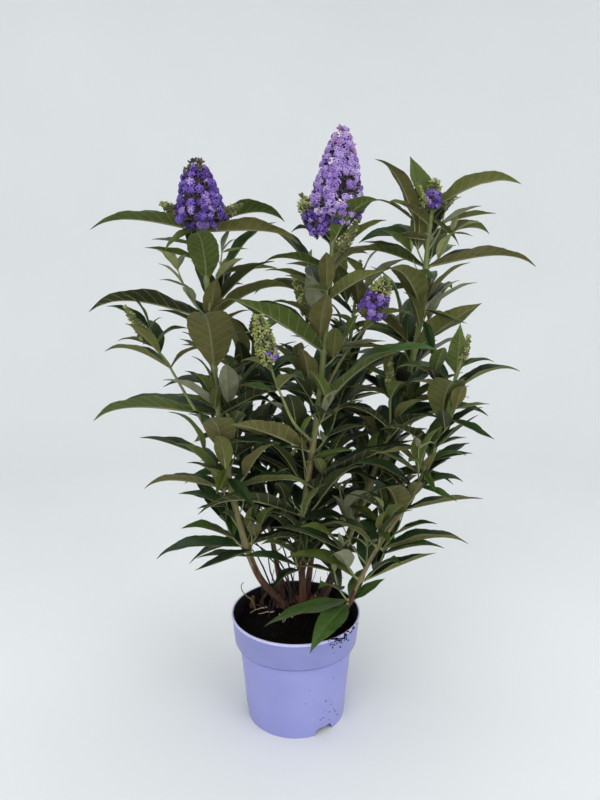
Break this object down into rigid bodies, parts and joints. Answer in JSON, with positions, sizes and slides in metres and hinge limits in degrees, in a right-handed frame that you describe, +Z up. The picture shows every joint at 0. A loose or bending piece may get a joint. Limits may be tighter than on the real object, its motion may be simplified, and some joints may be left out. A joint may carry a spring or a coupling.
{
  "type": "potted butterfly bush",
  "caption": "Young flowering butterfly bush with long arching leaves and cone shaped lilac flower heads, growing in a round lilac nursery pot.",
  "frame": {"origin": "middle of the pot's flat underside, on the surface that the pot stands on", "axes": "+Z up along the pot's axis; -Y is the front of the plant as pictured; +X to the right seen from the front"},
  "size_m": [0.5634, 0.3828, 0.7391],
  "materials": {
    "pot": "lilac moulded polypropylene, black inside",
    "compost": "dark crumbly peat compost",
    "bark": "reddish brown ribbed bark, tan green higher up",
    "foliage": "dark green matt leaves with olive undersides, and lilac to violet flower heads"
  },
  "bodies": {
    "root": {"bough_centre_front": "bark", "bough_centre_right": "bark", "bough_left_low": "bark", "bough_right_front": "bark", "cane_back_left": "bark", "cane_back_right": "bark", "cane_centre": "bark", "cane_left": "bark", "cane_low_right": "bark", "cane_right": "bark", "compost": "compost", "foliage_back_left_1a": "foliage", "foliage_back_left_1b": "foliage", "foliage_back_left_top": "foliage", "foliage_back_right_1a": "foliage", "foliage_back_right_1b": "foliage", "foliage_back_right_2a": "foliage", "foliage_back_right_2b": "foliage", "foliage_back_right_top": "foliage", "foliage_centre_1a": "foliage", "foliage_centre_1b": "foliage", "foliage_centre_2a": "foliage", "foliage_centre_2b": "foliage", "foliage_centre_3a": "foliage", "foliage_centre_3b": "foliage", "foliage_centre_4a": "foliage", "foliage_centre_4b": "foliage", "foliage_centre_5a": "foliage", "foliage_centre_5b": "foliage", "foliage_centre_6a": "foliage", "foliage_centre_6b": "foliage", "foliage_centre_front": "foliage", "foliage_centre_right": "foliage", "foliage_centre_top": "foliage", "foliage_left_1a": "foliage", "foliage_left_1b": "foliage", "foliage_left_2a": "foliage", "foliage_left_2b": "foliage", "foliage_left_3a": "foliage", "foliage_left_3b": "foliage", "foliage_left_low": "foliage", "foliage_left_top": "foliage", "foliage_low_right_1a": "foliage", "foliage_low_right_1b": "foliage", "foliage_low_right_2a": "foliage", "foliage_low_right_2b": "foliage", "foliage_low_right_3a": "foliage", "foliage_low_right_3b": "foliage", "foliage_low_right_4a": "foliage", "foliage_low_right_4b": "foliage", "foliage_low_right_top": "foliage", "foliage_right_1a": "foliage", "foliage_right_1b": "foliage", "foliage_right_2a": "foliage", "foliage_right_2b": "foliage", "foliage_right_front": "foliage", "foliage_right_top": "foliage", "pot": "pot"}
  },
  "joints": []
}
